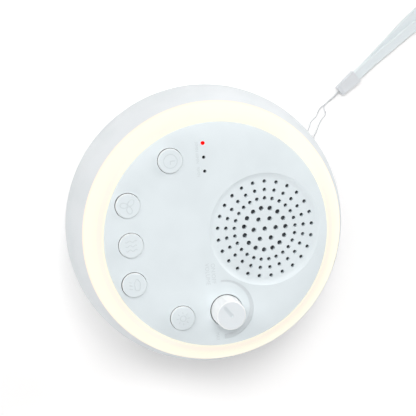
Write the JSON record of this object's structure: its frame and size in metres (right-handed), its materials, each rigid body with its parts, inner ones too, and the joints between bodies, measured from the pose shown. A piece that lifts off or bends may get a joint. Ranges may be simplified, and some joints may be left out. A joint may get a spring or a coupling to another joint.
{
  "type": "white noise machine",
  "caption": "Round bun-shaped white noise machine with a perforated speaker dish, push buttons, a volume knob, timer lamps, a light band round the face and a wrist strap.",
  "frame": {"origin": "on the table, under the middle of the round case", "axes": "+Z out of the face, which looks up; +Y towards the speaker grille; +X towards the volume knob"},
  "size_m": [0.1234, 0.1716, 0.0552],
  "materials": {
    "shell": "satin white",
    "face": "matt white",
    "diffuser": "milky, translucent",
    "keys": "matt white",
    "knob": "satin white",
    "lens": "smoked, clear",
    "lens_lit": "lit red",
    "black": "matt",
    "board": "solder mask",
    "white_board": "solder mask",
    "lamp": "clear resin",
    "ivory": "nylon",
    "steel": "zinc plated",
    "ferrite": "matt ferrite",
    "copper": "enamelled wire",
    "paper": "pressed paper",
    "damper": "resin cloth",
    "foam": "foam",
    "cloth": "woven",
    "cell": "shrink sleeve",
    "feet": "matt",
    "lead_red": "insulated wire",
    "lead_black": "insulated wire",
    "lead_white": "insulated wire",
    "cord": "braided",
    "connector": "satin",
    "webbing": "woven"
  },
  "bodies": {
    "case": {"front_housing": "shell", "rear_housing": "shell", "face_plate": "face", "light_ring": "diffuser", "ring_board": "white_board", "ring_lamps": "lamp", "switch_cases": "black", "main_board": "board", "board_chips": "black", "board_sockets": "ivory", "volume_pot": "steel", "timer_lens_1": "lens_lit", "timer_lens_2": "lens", "timer_lens_3": "lens", "timer_lamps": "lamp", "dust_cloth": "cloth", "speaker_gasket": "foam", "speaker_frame": "black", "top_pole_plate": "steel", "speaker_magnet": "ferrite", "back_pole": "steel", "speaker_retainer": "shell", "retainer_screws": "steel", "face_screws": "steel", "board_screws": "steel", "case_screws": "steel", "battery_cell": "cell", "battery_straps": "shell", "battery_screws": "steel", "charge_board": "board", "charge_screws": "steel", "usb_socket": "steel", "speaker_lead": "lead_red", "battery_lead": "lead_red", "charge_lead": "lead_black", "band_lead": "lead_white", "rubber_feet": "feet", "lanyard_cord": "cord", "lanyard_connector": "connector", "wrist_strap": "webbing"},
    "timer_key": {"timer_button": "keys", "timer_plunger": "black"},
    "left_sound_key": {"left_sound_button": "keys", "left_sound_plunger": "black"},
    "middle_sound_key": {"middle_sound_button": "keys", "middle_sound_plunger": "black"},
    "right_sound_key": {"right_sound_button": "keys", "right_sound_plunger": "black"},
    "light_key": {"light_button": "keys", "light_plunger": "black"},
    "knob": {"volume_knob": "knob", "volume_shaft": "steel"},
    "cone": {"speaker_cone": "paper", "dust_cap": "paper", "voice_coil": "copper", "speaker_surround": "foam", "spider": "damper"}
  },
  "joints": [
    {"name": "timer_press", "type": "slide", "parent": "case", "child": "timer_key", "axis": [0, 0, 1], "range_m": [-0.0003, 0], "stiffness_N_per_m": 4000, "springref_m": 0.0001},
    {"name": "left_sound_press", "type": "slide", "parent": "case", "child": "left_sound_key", "axis": [0, 0, 1], "range_m": [-0.0003, 0], "stiffness_N_per_m": 4000, "springref_m": 0.0001},
    {"name": "middle_sound_press", "type": "slide", "parent": "case", "child": "middle_sound_key", "axis": [0, 0, 1], "range_m": [-0.0003, 0], "stiffness_N_per_m": 4000, "springref_m": 0.0001},
    {"name": "right_sound_press", "type": "slide", "parent": "case", "child": "right_sound_key", "axis": [0, 0, 1], "range_m": [-0.0003, 0], "stiffness_N_per_m": 4000, "springref_m": 0.0001},
    {"name": "light_press", "type": "slide", "parent": "case", "child": "light_key", "axis": [0, 0, 1], "range_m": [-0.0003, 0], "stiffness_N_per_m": 4000, "springref_m": 0.0001},
    {"name": "volume_turn", "type": "hinge", "parent": "case", "child": "knob", "pos_m": [0.0274, 0.00125, 0.047], "axis": [0, 0, 1], "range_deg": [-235, 0]},
    {"name": "cone_stroke", "type": "slide", "parent": "case", "child": "cone", "axis": [0, 0, 1], "range_m": [-0.0003, 0.0003], "stiffness_N_per_m": 1500, "deforming": ["speaker_surround", "spider"]}
  ]
}
